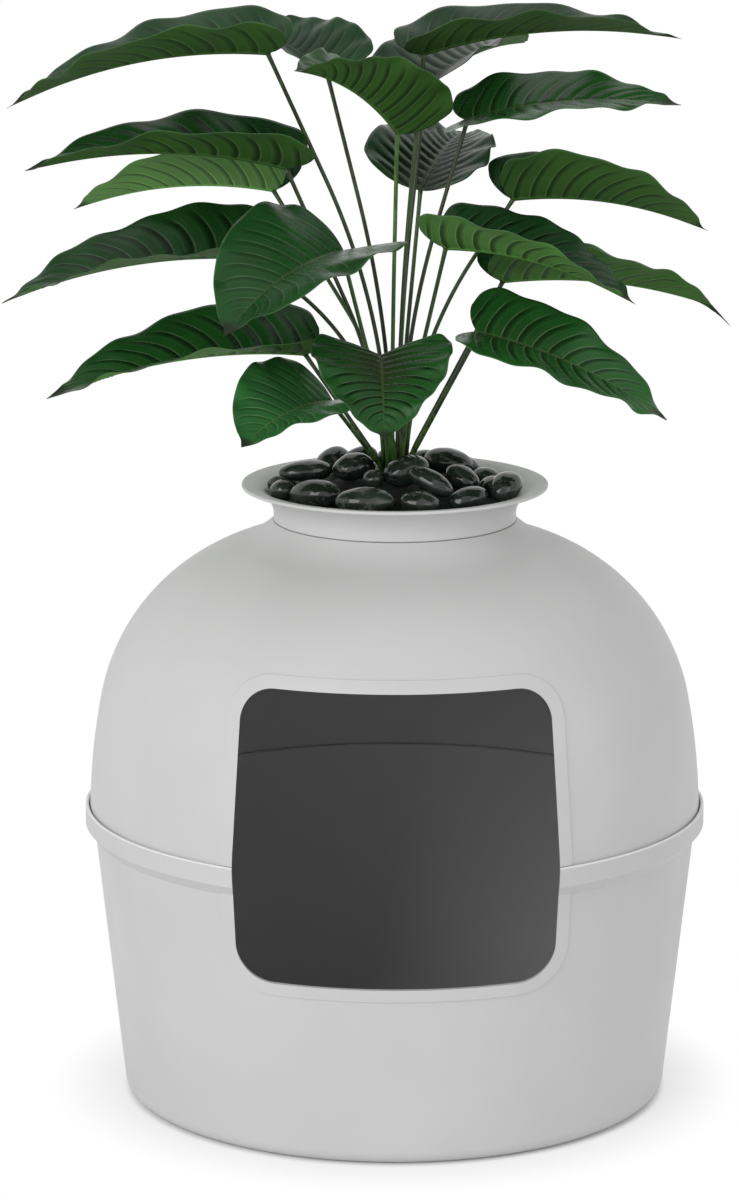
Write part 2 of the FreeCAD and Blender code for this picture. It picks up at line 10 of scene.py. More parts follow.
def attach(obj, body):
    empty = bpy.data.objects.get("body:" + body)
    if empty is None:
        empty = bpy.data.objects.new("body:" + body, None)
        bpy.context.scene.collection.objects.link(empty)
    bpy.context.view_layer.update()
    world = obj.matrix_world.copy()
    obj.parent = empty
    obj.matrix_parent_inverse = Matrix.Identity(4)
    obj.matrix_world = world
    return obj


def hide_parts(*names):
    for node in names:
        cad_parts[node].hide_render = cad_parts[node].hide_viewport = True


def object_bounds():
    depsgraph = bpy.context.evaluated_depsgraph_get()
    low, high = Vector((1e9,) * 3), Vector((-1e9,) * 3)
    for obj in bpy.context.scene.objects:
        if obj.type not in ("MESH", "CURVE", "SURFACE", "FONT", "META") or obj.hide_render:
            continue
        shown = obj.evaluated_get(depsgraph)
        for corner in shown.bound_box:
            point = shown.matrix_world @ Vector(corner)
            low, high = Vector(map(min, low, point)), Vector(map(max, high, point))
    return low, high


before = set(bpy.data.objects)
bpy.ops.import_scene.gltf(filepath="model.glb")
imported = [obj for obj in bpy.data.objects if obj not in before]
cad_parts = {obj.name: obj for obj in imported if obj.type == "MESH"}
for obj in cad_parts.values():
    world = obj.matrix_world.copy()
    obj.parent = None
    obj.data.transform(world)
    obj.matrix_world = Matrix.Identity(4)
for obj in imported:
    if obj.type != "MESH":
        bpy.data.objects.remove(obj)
CAD_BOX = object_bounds()

bl_info = {
    "name": "Planter Litter Box",
    "version": (1, 0, 0),
    "blender": (4, 5, 0),
    "location": "View3D > Sidebar > Litter Box",
    "description": "Dresses a planter-shaped litter box enclosure with its finishes, pebbles and plant",
    "category": "Object",
}

SHELL_NODES = ("base_tub", "dome_cover", "planter_pot")
PEBBLE_NODES = ("pebbles_front", "pebbles_right", "pebbles_back", "pebbles_left")

# Levels on the shells, in metres: tub's floor, dome's centre, top of the lip, depth of the band at its top
# that takes the painted highlight, pot's rim
PAN_LEVEL = 0.010
DOME_CENTRE = 0.25
LIP_TOP = 0.247
BRIM_DEPTH = 0.0011
RIM_TOP = 0.517
# Finish of the shells: cosine of inner faces and rise of the pan's floor (where painted shade goes), rise of
# the lip's top face (painted highlight), tints, roughness
INNER_COSINE = -0.75
PAN_RISE = 0.9
BRIM_RISE = 0.5
PLASTIC_TINTS = (0.965, 1.02)
BRIM_HIGHLIGHT_TINT = 1.35
SHELL_ROUGHNESS = (0.40, 0.56)
GRAIN_HEIGHT = 0.00012

# Stones: steps of the ball that they start from, seeds, scales of their lumps, largest swell, tint, roughness
BALL_STEPS = 5
STONE_SEED = 11.3
GROUP_SEED = 37.0
LUMP_SCALE = 1.15
FINE_LUMP_SCALE = 2.4
FINE_LUMP_SHARE = 0.4
SWELL_MAX = 1.01
PALE_STONE_TINT = 2.6
STONE_ROUGHNESS = (0.06, 0.20)
PIT_HEIGHT = 0.0002

# Plant, in metres
PLANT_REACH = 0.300
PLANT_HEIGHT = 0.400
LEAF_WIDTH = 0.132
LEAF_KEEL = 0.004
LEAF_FLATTEN_SHARE = 0.3
# One row per leaf: junction x, y, z and tip x, y, z (of reach, reach, height), width, bow of its stem
LEAF_SHARES = (
    (-0.34, 0.00, 0.89, -1.06, 0.05, 0.77, 0.95, 0.90),
    (-0.18, 0.12, 0.83, -0.42, 0.46, 0.90, 0.80, 0.90),
    (0.08, 0.14, 0.81, 0.37, 0.63, 0.86, 0.92, 0.90),
    (0.07, -0.03, 0.89, 0.78, 0.08, 0.91, 0.85, 0.90),
    (0.01, -0.07, 0.73, -0.27, -0.36, 0.88, 0.95, 0.90),
    (0.19, 0.03, 0.75, 0.77, -0.10, 0.79, 0.85, 0.90),
    (0.07, 0.19, 0.59, 0.20, 0.64, 0.67, 0.93, 0.80),
    (-0.29, -0.05, 0.66, -1.00, -0.14, 0.66, 0.95, 0.80),
    (-0.33, 0.20, 0.59, -0.90, 0.37, 0.53, 0.95, 0.80),
    (0.32, 0.12, 0.58, 0.87, 0.22, 0.50, 1.00, 0.95),
    (-0.37, 0.00, 0.47, -1.08, 0.03, 0.37, 1.00, 0.95),
    (-0.14, -0.23, 0.51, -0.45, -0.60, 0.38, 1.15, 0.60),
    (0.13, -0.17, 0.51, 0.64, -0.33, 0.41, 1.00, 0.60),
    (0.29, 0.02, 0.42, 0.93, 0.12, 0.34, 0.95, 0.35),
    (-0.24, -0.07, 0.28, -0.94, -0.27, 0.21, 1.00, 0.35),
    (-0.17, -0.21, 0.20, -0.41, -0.48, 0.14, 0.98, 0.30),
    (-0.04, -0.27, 0.30, -0.03, -0.52, 0.16, 0.92, 0.40),
    (0.22, -0.20, 0.34, 0.73, -0.30, 0.17, 0.88, 0.30),
)
LEAF_DROOP_ANGLE = math.radians(25.0)
LEAF_FOLD_ANGLE = math.radians(40.0)
LEAF_ROLL_ANGLE = math.radians(10.0)
# One row per leaf: droop from base to tip, fold of each half, roll about the midrib (of the angles above)
LEAF_BEND_SHARES = (
    (1.28, 0.9, 0.2), (1.0, 0.95, 0.6), (1.0, 0.75, 0.4), (1.12, 0.8, 0.0),
    (1.6, 1.3, 0.0), (1.0, 0.35, -1.5), (1.0, 0.85, -0.8), (1.2, 0.9, 0.2),
    (1.2, 1.1, -0.4), (1.2, 1.1, 0.8), (1.12, 0.75, 1.1), (1.4, 0.6, 1.0),
    (1.2, 0.9, 0.2), (1.12, 0.9, 0.4), (1.12, 0.725, 0.8), (1.4, 0.6, 1.0),
    (1.4, 0.55, 0.0), (1.0, 0.4, -1.8),
)
# One row per leaf: brightness of the upper face and underside (partly painted light), brown by the midrib,
# share of painted greyish sheen, pleats with their painted shade
LEAF_TONE_SHARES = (
    (0.75, 0.70, 0.1, 0.40, 0.6), (0.90, 1.00, 0.0, 0.60, 0.4), (0.80, 0.90, 0.1, 0.50, 0.9),
    (0.65, 0.55, 0.0, 0.50, 0.6), (1.00, 0.52, 0.1, 0.10, 0.8), (1.20, 0.90, 0.2, 0.00, 0.6),
    (1.15, 1.00, 0.6, 1.00, 1.2), (0.75, 0.60, 0.1, 0.10, 0.8), (1.10, 1.65, 0.0, 0.70, 0.7),
    (0.95, 0.75, 0.1, 0.40, 0.7), (0.80, 0.80, 0.1, 0.10, 0.8), (1.05, 1.00, 0.0, 0.25, 0.35),
    (0.75, 1.15, 0.0, 0.45, 0.8), (0.90, 0.75, 0.1, 0.10, 0.7), (0.95, 1.10, 0.0, 0.00, 0.8),
    # Leaf 16, first in the row below, has its brightness raised to 2.3 as painted light against the shade it
    # lies in under the other leaves
    (2.30, 1.00, 0.0, 0.45, 0.3), (1.20, 1.00, 0.8, 0.00, 1.0), (1.50, 0.90, 0.25, 0.00, 0.7),
)
# Dry tail at a leaf's tip: start (of its length), narrowing (of its width), drop in metres; long by index
LEAF_TAIL = (0.88, 0.30, 0.0)
LONG_TAILS = {13: (0.82, 0.80, 0.012)}
# Heart outline: place on the midrib, edge place along the leaf, edge place across
HEART_SHARES = np.array((
    (0.0, -0.07, 0.52), (0.05, -0.05, 0.80), (0.12, 0.03, 0.95), (0.22, 0.15, 1.0), (0.38, 0.36, 0.93),
    (0.54, 0.56, 0.75), (0.70, 0.745, 0.51), (0.85, 0.885, 0.25), (1.0, 1.0, 0.012),
))
# Ring of sockets: radius, height of the stems' feet, height where they start to bend
INNER_RING = (0.0049, 0.5043, 0.530)
OUTER_RING = (0.0100, 0.5003, 0.516)
INNER_RING_COUNT = 6
STEM_RADIUS = 0.0020
STEM_BEND_MIN = 0.025
STEM_SEAT = 0.0003
# One share per stem: how light its green is
STEM_LIGHT_SHARES = (0.1, 0.0, 0.1, 0.3, 0.9, 0.1, 0.5, 0.1, 0.4, 0.3, 0.1, 0.6, 0.2, 0.2, 0.1, 0.1, 0.9, 0.2)

# Mesh of a leaf: rows and columns with the powers that crowd them, thickness in metres, thinning, tail
LEAF_ROWS = 84
LEAF_COLUMNS = 45
ROW_POWER = 1.15
COLUMN_POWER = 1.2
LEAF_THICKNESS = 0.0008
TIP_THICKNESS_SHARE = 0.3
TIP_RUN = 0.1
THIN_EDGE_SHARE = 0.5
EDGE_SHARE_MIN = 0.006
NOTCH_RUN = 0.05
TAIL_TAPER = 0.6
# Side veins, in leaf lengths: offset between the halves, sweep to the tip at the edge, shift of the first one
VEIN_STAGGER = 0.015
VEIN_SWEEP = 0.16
VEIN_SHIFT = 0.05
VEIN_POWER = 1.5
VEIN_PHASE = 50.0
# Pleats and edge waves: shape, and the runs over which they fade at midrib, edge, base and tip
PLEAT_POWER = 0.7
PLEAT_LEVEL = 0.6
PLEAT_FADES = (0.10, 0.55, 0.04, 0.2)
PLEAT_EDGE_POWER = 0.8
WAVE_EDGE_POWER = 2.5
WAVE_FADES = (0.1, 0.15)
WAVE_SEED = 100
WAVE_COUNTS = (2.2, 4.2)
FINE_WAVE_SHARE = 0.6
FINE_WAVE_EXTRA = 3
# Midrib: depth of its groove above and height of its ridge below in metres, and their widths
MIDRIB_GROOVE = (0.0012, 0.03)
MIDRIB_RIDGE = (0.0016, 0.022)

# Mesh of a stem, and its thickness: share of the radius halfway, then share and run of each swelling
STEM_SIDES = 14
STEM_STEPS = 60
STEM_PASSES = 3
STEM_SLIM_SHARE = 0.86
STEM_FOOT = (0.14, 0.05)
STEM_TOP = (0.22, 0.006)
STEM_SHEATH = (0.45, 0.07)

# Finish of the foam: colours, cells per metre, height of their relief
FOAM_DARK = (0.004, 0.004, 0.004)
FOAM_PALE = (0.014, 0.015, 0.014)
FOAM_CELLS = 700.0
FOAM_HEIGHT = 0.0008
# Finish of the plant: plain colours (the upper face's painted greyish sheen among them), strength and colour
# of each layer (painted sheen, vein highlights and rim highlight among them), strength and tint of the
# painted shade in the pleat hollows
UPPER_PAINTED_SHEEN = (0.026, 0.048, 0.036)
LEAF_DRY = (0.014, 0.014, 0.009)
PLANT_BROWN = (0.022, 0.018, 0.010)
STEM_GREEN = (0.040, 0.110, 0.018)
STEM_LIGHT_GREEN = (0.085, 0.200, 0.040)
UPPER_VEIN_HIGHLIGHT = (0.62, (0.105, 0.190, 0.095))
UPPER_MIDRIB = (0.55, (0.055, 0.085, 0.030))
UNDER_PAINTED_SHEEN = (0.5, (0.095, 0.145, 0.075))
UNDER_VEIN_HIGHLIGHT = (0.75, (0.160, 0.330, 0.090))
UNDER_MIDRIB = (0.8, (0.110, 0.280, 0.060))
LEAF_RIM_HIGHLIGHT = (0.45, (0.085, 0.170, 0.075))
UPPER_VALLEY_SHADE = (1.10, 0.22)
UNDER_VALLEY_SHADE = (1.05, 0.24)
UNDER_TINT = 1.30
LEAF_ROUGHNESS = (0.23, 0.33)
UNDER_ROUGHNESS = 0.40
STEM_ROUGHNESS = (0.28, 0.44)
LEAF_GRAIN_HEIGHT = 0.00012
FIBRE_HEIGHT = 0.0003

# Stage, in metres: floor, shadow on it (from and to this far from the axis, share of white there), lamps
FLOOR_HALF = 6.0
FLOOR_GAP = 0.0005
CONTACT_SHADOW = (0.222, 0.231, 0.10, 1.0)
SOFT_SHADOW = (0.226, 0.30, 0.60, 1.0)
KEY_WIDTH = 2.2
KEY_PLACE = (-1.9, -2.9, 1.9)
FILL_WIDTH = 2.0
FILL_PLACE = (2.6, -2.2, 1.3)
LAMP_TARGET = (0.0, 0.0, 0.45)
# Sensor of the camera, in millimetres
SENSOR_WIDTH = 36.0


class ShellSettings(bpy.types.PropertyGroup):
    """Finish of the tub, dome and pot"""
    plastic: bpy.props.FloatVectorProperty(
        name="Plastic", description="Colour of the moulded shells", subtype="COLOR", size=3,
        min=0.0, max=1.0, default=(0.595, 0.595, 0.593))
    # Painted shade: the darker colour laid on the shells' inner faces and the pan's floor
    painted_inner_shade: bpy.props.FloatVectorProperty(
        name="Painted inner shade", description="Colour of the shells' inner faces", subtype="COLOR", size=3,
        min=0.0, max=1.0, default=(0.450, 0.450, 0.450))
    grain: bpy.props.FloatProperty(
        name="Grain", description="Size of the moulded grain", unit="LENGTH", min=0.0001, default=0.0012)


class PebbleSettings(bpy.types.PropertyGroup):
    """Shape and finish of the stones"""
    stone: bpy.props.FloatVectorProperty(
        name="Stone", description="Colour of the polished pebbles", subtype="COLOR", size=3,
        min=0.0, max=1.0, default=(0.0130, 0.0175, 0.0150))
    vein: bpy.props.FloatVectorProperty(
        name="Vein", description="Colour of the faint veins in the pebbles", subtype="COLOR", size=3,
        min=0.0, max=1.0, default=(0.110, 0.115, 0.105))
    wear: bpy.props.FloatProperty(
        name="Unevenness", description="How far a pebble departs from an ellipsoid", subtype="FACTOR",
        min=0.0, max=0.2, default=0.06)


class PlantSettings(bpy.types.PropertyGroup):
    """Shape and finish of the stems and leaves"""
    upper: bpy.props.FloatVectorProperty(
        name="Upper face", description="Colour of the leaves' upper faces", subtype="COLOR", size=3,
        min=0.0, max=1.0, default=(0.0090, 0.0530, 0.0100))
    under: bpy.props.FloatVectorProperty(
        name="Underside", description="Colour of the leaves' undersides", subtype="COLOR", size=3,
        min=0.0, max=1.0, default=(0.0480, 0.1500, 0.0220))
    stem: bpy.props.FloatVectorProperty(
        name="Stem", description="Colour of the stems", subtype="COLOR", size=3,
        min=0.0, max=1.0, default=(0.020, 0.036, 0.012))
    pleat: bpy.props.FloatProperty(
        name="Pleats", description="Depth of the pleats between side veins", unit="LENGTH", min=0.0,
        default=0.0016)
    veins: bpy.props.IntProperty(
        name="Side veins", description="Side veins on each half of a leaf", min=4, max=30, default=13)
    wave: bpy.props.FloatProperty(
        name="Edge wave", description="Height of the waves along a leaf's edge", unit="LENGTH", min=0.0,
        default=0.0022)


class StageSettings(bpy.types.PropertyGroup):
    """Light and camera"""
    camera_place: bpy.props.FloatVectorProperty(
        name="Camera", description="Where the camera stands", subtype="TRANSLATION", unit="LENGTH", size=3,
        default=(-0.021, -3.951, 1.284))
    camera_pitch: bpy.props.FloatProperty(
        name="Pitch", description="How far the camera looks down", subtype="ANGLE",
        default=math.radians(12.38))
    lens: bpy.props.FloatProperty(
        name="Lens", description="Focal length in millimetres", min=10.0, default=145.7)
    sky: bpy.props.FloatProperty(
        name="Sky", description="Strength of the even light from all sides", min=0.0, default=0.62)
    key: bpy.props.FloatProperty(
        name="Key light", description="Power of the large light at the front left, in watts", min=0.0,
        default=54.0)
    fill: bpy.props.FloatProperty(
        name="Fill light", description="Power of the large light at the right, in watts", min=0.0,
        default=12.0)


class LitterBoxSettings(bpy.types.PropertyGroup):
    """All settings of the litter box"""
    shell: bpy.props.PointerProperty(
        name="Shells", description="Finish of the tub, dome and pot", type=ShellSettings)
    pebble: bpy.props.PointerProperty(
        name="Pebbles", description="Shape and finish of the stones", type=PebbleSettings)
    plant: bpy.props.PointerProperty(
        name="Plant", description="Shape and finish of the stems and leaves", type=PlantSettings)
    stage: bpy.props.PointerProperty(
        name="Stage", description="Light and camera", type=StageSettings)


class Finish:
    """A new material whose nodes are added and linked by short calls."""

    def __init__(self, name):
        self.material = bpy.data.materials.new(name)
        self.material.use_nodes = True
        self.tree = self.material.node_tree
        self.shader = self.tree.nodes["Principled BSDF"]

    def node(self, kind, inputs=None, **settings):
        """Add a node; inputs are values or other nodes' sockets, by socket name or number."""
        made = self.tree.nodes.new(kind)
        for key, value in settings.items():
            setattr(made, key, value)
        for key, value in (inputs or {}).items():
            self.feed(made.inputs[key], value)
        return made

    def feed(self, socket, value):
        """Link a socket to another one, or give it a plain value."""
        if isinstance(value, bpy.types.NodeSocket):
            self.tree.links.new(value, socket)
        else:
            socket.default_value = value

    def set(self, **values):
        """Set sockets of the shader by name, with spaces written as underscores."""
        for key, value in values.items():
            self.feed(self.shader.inputs[key.replace("_", " ")], value)

    def math(self, operation, *values):
        """Result of a sum on numbers or sockets."""
        return self.node("ShaderNodeMath", dict(enumerate(values)), operation=operation).outputs[0]

    def vector(self, operation, *values):
        """Result of a sum on vectors."""
        made = self.node("ShaderNodeVectorMath", dict(enumerate(values)), operation=operation)
        return made.outputs["Value" if operation in ("DOT_PRODUCT", "LENGTH") else "Vector"]

    def mix(self, share, first, second, blend="MIX"):
        """Colour between two others, which are sockets or plain triples."""
        made = self.node("ShaderNodeMix", data_type="RGBA", blend_type=blend)
        for number, value in ((0, share), (6, first), (7, second)):
            self.feed(made.inputs[number], (*value, 1.0) if isinstance(value, tuple) else value)
        return made.outputs[2]

    def lay(self, base, mask, strength, colour):
        """A colour laid over a base where a mask is one."""
        return self.mix(self.math("MULTIPLY", mask, strength), base, colour)

    def noise(self, scale, detail=2.0, roughness=0.5, vector=None, stretch=None):
        """Cloudy noise on the object's own coordinates, or on a given vector."""
        place = vector or self.node("ShaderNodeTexCoord").outputs["Object"]
        if stretch:
            place = self.vector("MULTIPLY", place, stretch)
        made = self.node("ShaderNodeTexNoise", {"Vector": place, "Scale": scale, "Detail": detail,
                                                "Roughness": roughness})
        return made.outputs["Fac"]

    def ramp(self, value, *stops):
        """Colour from a row of stops, each a place and a colour."""
        made = self.node("ShaderNodeValToRGB", {"Fac": value})
        elements = made.color_ramp.elements
        while len(elements) < len(stops):
            elements.new(0.5)
        for element, (place, colour) in zip(elements, stops):
            element.position = place
            element.color = (*colour, 1.0)
        return made.outputs["Color"]

    def span(self, value, low, high, start=0.0, end=1.0):
        """A smooth step from start to end as a value goes from low to high."""
        made = self.node("ShaderNodeMapRange", {"Value": value, "From Min": low, "From Max": high,
                                                "To Min": start, "To Max": end})
        made.interpolation_type = "SMOOTHSTEP"
        return made.outputs["Result"]

    def attribute(self, name):
        """A number stored on the mesh's points."""
        return self.node("ShaderNodeAttribute", attribute_name=name).outputs["Fac"]

    def bump(self, height, distance, strength=1.0):
        """Normal of a fine relief."""
        made = self.node("ShaderNodeBump", {"Height": height, "Distance": distance, "Strength": strength})
        return made.outputs["Normal"]


def tint(colour, share):
    """A colour made brighter or darker."""
    return tuple(min(c * share, 1.0) for c in colour)


def shell_finish(settings):
    """Satin moulded plastic with a fine grain, a little uneven in tone; painted shade on the inner faces and
    a painted highlight on the lip's top face.
    """
    finish = Finish("moulded_grey_plastic")
    place = finish.node("ShaderNodeTexCoord").outputs["Object"]
    normal = finish.node("ShaderNodeNewGeometry").outputs["True Normal"]
    level = finish.node("ShaderNodeSeparateXYZ", {0: place}).outputs["Z"]
    rise = finish.node("ShaderNodeSeparateXYZ", {0: normal}).outputs["Z"]
    # Painted shade: inner faces look back at the axis, or at the dome's centre above the lip, and the pan's
    # floor counts too; they take the darker inner colour
    hub = finish.math("MINIMUM", level, DOME_CENTRE)
    centre = finish.node("ShaderNodeCombineXYZ", {"Z": hub}).outputs[0]
    outward = finish.vector("NORMALIZE", finish.vector("SUBTRACT", place, centre))
    inner_shade_mask = finish.math("LESS_THAN", finish.vector("DOT_PRODUCT", outward, normal), INNER_COSINE)
    pan = finish.math("MULTIPLY", finish.math("GREATER_THAN", rise, PAN_RISE),
                      finish.math("LESS_THAN", level, PAN_LEVEL))
    inner_shade_mask = finish.math("MAXIMUM", inner_shade_mask, pan)
    cloud = finish.noise(7.0, 3.0)
    tone = finish.mix(finish.span(cloud, 0.3, 0.7), *(tint(settings.plastic, t) for t in PLASTIC_TINTS))
    # Painted highlight: upward faces at the top of the lip are painted lighter
    lip_top_highlight = finish.math("MULTIPLY", finish.math("GREATER_THAN", rise, BRIM_RISE),
                       finish.math("COMPARE", level, LIP_TOP, BRIM_DEPTH))
    tone = finish.mix(lip_top_highlight, tone, tint(settings.plastic, BRIM_HIGHLIGHT_TINT))
    # Painted shade: inner faces and the pan's floor take the darker inner colour
    finish.set(Base_Color=finish.mix(inner_shade_mask, tone, tuple(settings.painted_inner_shade)))
    grain = finish.noise(1.0 / settings.grain, 3.0, 0.6)
    mottle = finish.noise(24.0, 2.0)
    wear = finish.math("ADD", grain, finish.math("MULTIPLY", mottle, 0.5))
    finish.set(Roughness=finish.span(wear, 0.4, 1.1, *SHELL_ROUGHNESS))
    finish.set(Normal=finish.bump(grain, GRAIN_HEIGHT, 0.5), Specular_IOR_Level=0.42)
    return finish.material


def foam_finish():
    """Dark open-cell foam."""
    finish = Finish("dark_foam")
    place = finish.node("ShaderNodeTexCoord").outputs["Object"]
    cells = finish.node("ShaderNodeTexVoronoi", {"Vector": place, "Scale": FOAM_CELLS}).outputs["Distance"]
    finish.set(Base_Color=finish.ramp(cells, (0.0, FOAM_DARK), (0.6, FOAM_PALE)), Roughness=0.95)
    finish.set(Normal=finish.bump(cells, FOAM_HEIGHT))
    return finish.material


def pebble_finish(settings):
    """Polished black stone with faint veins, dull patches and fine pits."""
    finish = Finish("polished_black_pebble")
    seed = finish.attribute("stone_seed")
    place = finish.node("ShaderNodeTexCoord").outputs["Object"]
    shift = finish.node("ShaderNodeCombineXYZ", {"X": seed, "Y": seed}).outputs[0]
    shifted = finish.vector("ADD", place, shift)
    veins = finish.node("ShaderNodeTexNoise", {"Vector": shifted, "Scale": 34.0, "Detail": 4.0,
                                               "Distortion": 1.6})
    line = finish.math("ABSOLUTE", finish.math("SUBTRACT", veins.outputs["Fac"], 0.5))
    patch = finish.span(finish.noise(20.0, 1.0, vector=shifted), 0.48, 0.62)
    thin = finish.math("MULTIPLY", finish.span(line, 0.0, 0.012, 0.8, 0.0), patch)
    clouds = finish.noise(55.0, 3.0, 0.6, vector=shifted)
    body = finish.mix(finish.span(clouds, 0.35, 0.75), tuple(settings.stone),
                      tint(settings.stone, PALE_STONE_TINT))
    finish.set(Base_Color=finish.mix(thin, body, tuple(settings.vein)))
    finish.set(Roughness=finish.span(clouds, 0.3, 0.8, *STONE_ROUGHNESS), Specular_IOR_Level=0.5)
    pits = finish.noise(420.0, 2.0, vector=shifted)
    relief = finish.math("ADD", pits, finish.math("MULTIPLY", clouds, 2.0))
    finish.set(Normal=finish.bump(relief, PIT_HEIGHT, 0.35))
    return finish.material


def leaf_finish(settings):
    """Waxy leaf: dark pleated face with painted shade in its hollows and a painted greyish sheen, brown by
    its midrib, bright underside, pale veins partly painted as highlight, painted highlight along the rim, dry
    tail.
    """
    finish = Finish("waxy_leaf")
    along, upper, tone = (finish.attribute("leaf_" + name) for name in ("along", "upper", "tone"))
    pleat, brown, grey = (finish.attribute("leaf_" + name) for name in ("pleat", "brown", "grey"))
    across = finish.math("ABSOLUTE", finish.attribute("leaf_across"))
    fine = finish.noise(260.0, 3.0, 0.6)
    cloud = finish.noise(22.0, 3.0)
    streak = finish.noise(48.0, 2.0)

    # A side vein runs where the phase is zero and a finer one halfway; beside each side vein lies a hollow
    # that takes painted shade
    phase = finish.math("FRACT", finish.attribute("leaf_vein"))
    wave = finish.math("ABSOLUTE", finish.math("SUBTRACT", phase, 0.5))
    reach = finish.math("MULTIPLY", finish.span(across, 0.60, 0.98, 1.0, 0.0),
                        finish.span(along, 0.66, 0.92, 1.0, 0.0))
    line = finish.math("MAXIMUM", finish.span(wave, 0.440, 0.49), finish.span(wave, 0.0, 0.04, 0.35, 0.0))
    line = finish.math("MULTIPLY", finish.math("MULTIPLY", line, reach),
                       finish.span(streak, 0.30, 0.65, 0.55, 1.0))
    beside = finish.math("ABSOLUTE", finish.math("SUBTRACT", phase, 0.16))
    valley_shade = finish.math("MULTIPLY", finish.span(beside, 0.0, 0.32, 1.0, 0.0),
                         finish.math("MULTIPLY", reach, pleat))
    midrib = finish.span(across, 0.012, 0.040, 1.0, 0.0)

    bright = (settings.upper[0] * 1.5, settings.upper[1] * 1.45, settings.upper[2] * 1.3)
    top = finish.mix(finish.span(cloud, 0.3, 0.72), tuple(settings.upper), bright)
    # Painted sheen: a greyish sheen laid in streaks over the upper face
    top = finish.lay(top, grey, finish.span(streak, 0.2, 0.7, 0.20, 0.60), UPPER_PAINTED_SHEEN)
    # Painted shade in the hollows beside the side veins
    top = finish.lay(top, valley_shade, UPPER_VALLEY_SHADE[0], tint(settings.upper, UPPER_VALLEY_SHADE[1]))
    heart = finish.math("MULTIPLY", finish.span(along, 0.15, 0.75, 0.85, 0.0),
                        finish.span(across, 0.05, 0.80, 1.0, 0.0))
    top = finish.lay(top, heart, brown, PLANT_BROWN)
    # Pale veins, partly the leaf's own paler green and partly painted highlight along them
    top = finish.lay(top, line, *UPPER_VEIN_HIGHLIGHT)
    top = finish.lay(top, midrib, *UPPER_MIDRIB)

    low = finish.mix(finish.span(cloud, 0.3, 0.7), tuple(settings.under), tint(settings.under, UNDER_TINT))
    # Painted sheen on the underside as well
    low = finish.lay(low, grey, *UNDER_PAINTED_SHEEN)
    # Painted shade in the hollows beside the side veins, on the underside
    low = finish.lay(low, valley_shade, UNDER_VALLEY_SHADE[0], tint(settings.under, UNDER_VALLEY_SHADE[1]))
    # Pale veins on the underside, partly their own paler green and partly painted highlight
    low = finish.lay(low, line, *UNDER_VEIN_HIGHLIGHT)
    low = finish.lay(low, midrib, *UNDER_MIDRIB)

    brightness = finish.node("ShaderNodeCombineColor", {0: tone, 1: tone, 2: tone}).outputs[0]
    shade = finish.mix(1.0, finish.mix(upper, low, top), brightness, "MULTIPLY")
    # Painted highlight along the leaf's rim
    shade = finish.lay(shade, finish.span(across, 0.965, 0.992), *LEAF_RIM_HIGHLIGHT)
    dry = finish.span(finish.attribute("leaf_tail"), 0.0, 0.55, 0.0, 0.85)
    finish.set(Base_Color=finish.mix(dry, shade, LEAF_DRY))
    matt = finish.math("MULTIPLY", finish.math("SUBTRACT", 1.0, upper), UNDER_ROUGHNESS)
    finish.set(Roughness=finish.math("ADD", finish.span(fine, 0.3, 0.7, *LEAF_ROUGHNESS), matt))
    finish.set(Specular_IOR_Level=0.15, Normal=finish.bump(fine, LEAF_GRAIN_HEIGHT, 0.14))
    return finish.material


def stem_finish(settings):
    """Satin stem: dark with lengthwise fibres and brown flecks, light green on some stems and at the foot."""
    finish = Finish("satin_stem")
    rise, light = finish.attribute("stem_rise"), finish.attribute("stem_light")
    fibres = finish.noise(30.0, 3.0, 0.6, stretch=(14.0, 14.0, 1.0))
    blotch = finish.noise(60.0, 3.0, 0.6, stretch=(1.0, 1.0, 0.25))
    dark = finish.mix(finish.span(blotch, 0.40, 0.66), tuple(settings.stem), PLANT_BROWN)
    green = finish.mix(finish.span(fibres, 0.35, 0.65), STEM_GREEN, STEM_LIGHT_GREEN)
    foot = finish.math("MULTIPLY", finish.span(rise, 0.04, 0.16, 0.85, 0.0), finish.span(fibres, 0.3, 0.6))
    streak = finish.math("MULTIPLY", finish.span(fibres, 0.48, 0.66), 0.35)
    share = finish.math("MAXIMUM", finish.math("MAXIMUM", light, foot), streak)
    finish.set(Base_Color=finish.mix(share, dark, green))
    finish.set(Roughness=finish.span(fibres, 0.3, 0.7, *STEM_ROUGHNESS), Specular_IOR_Level=0.35)
    finish.set(Normal=finish.bump(fibres, FIBRE_HEIGHT, 0.5))
    return finish.material


def dress(node, material):
    """Give a CAD node one finish all over."""
    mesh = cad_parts[node].data
    mesh.materials.clear()
    mesh.materials.append(material)


def new_piece(name, verts, faces, attributes, material, body, slot, *nodes):
    """A smooth mesh piece with point attributes that rides on a body and stands for its CAD nodes."""
    mesh = bpy.data.meshes.new(name)
    mesh.from_pydata([tuple(v) for v in verts], [], faces)
    mesh.polygons.foreach_set("use_smooth", [True] * len(mesh.polygons))
    for key, values in attributes.items():
        layer = mesh.attributes.new(key, "FLOAT", "POINT")
        layer.data.foreach_set("value", np.asarray(values, dtype=np.float32).ravel())
    mesh.materials.append(material)
    mesh.validate()
    piece = bpy.data.objects.new(name, mesh)
    bpy.context.scene.collection.objects.link(piece)
    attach(piece, body)
    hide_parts(*nodes)


def islands(mesh):
    """Vertex arrays of a mesh's separate solids."""
    work = bmesh.new()
    work.from_mesh(mesh)
    bmesh.ops.remove_doubles(work, verts=work.verts, dist=1e-6)
    seen, groups = set(), []
    for first in work.verts:
        if first in seen:
            continue
        stack, group = [first], []
        seen.add(first)
        while stack:
            vert = stack.pop()
            group.append(tuple(vert.co))
            for edge in vert.link_edges:
                other = edge.other_vert(vert)
                if other not in seen:
                    seen.add(other)
                    stack.append(other)
        groups.append(np.array(group))
    work.free()
    return groups


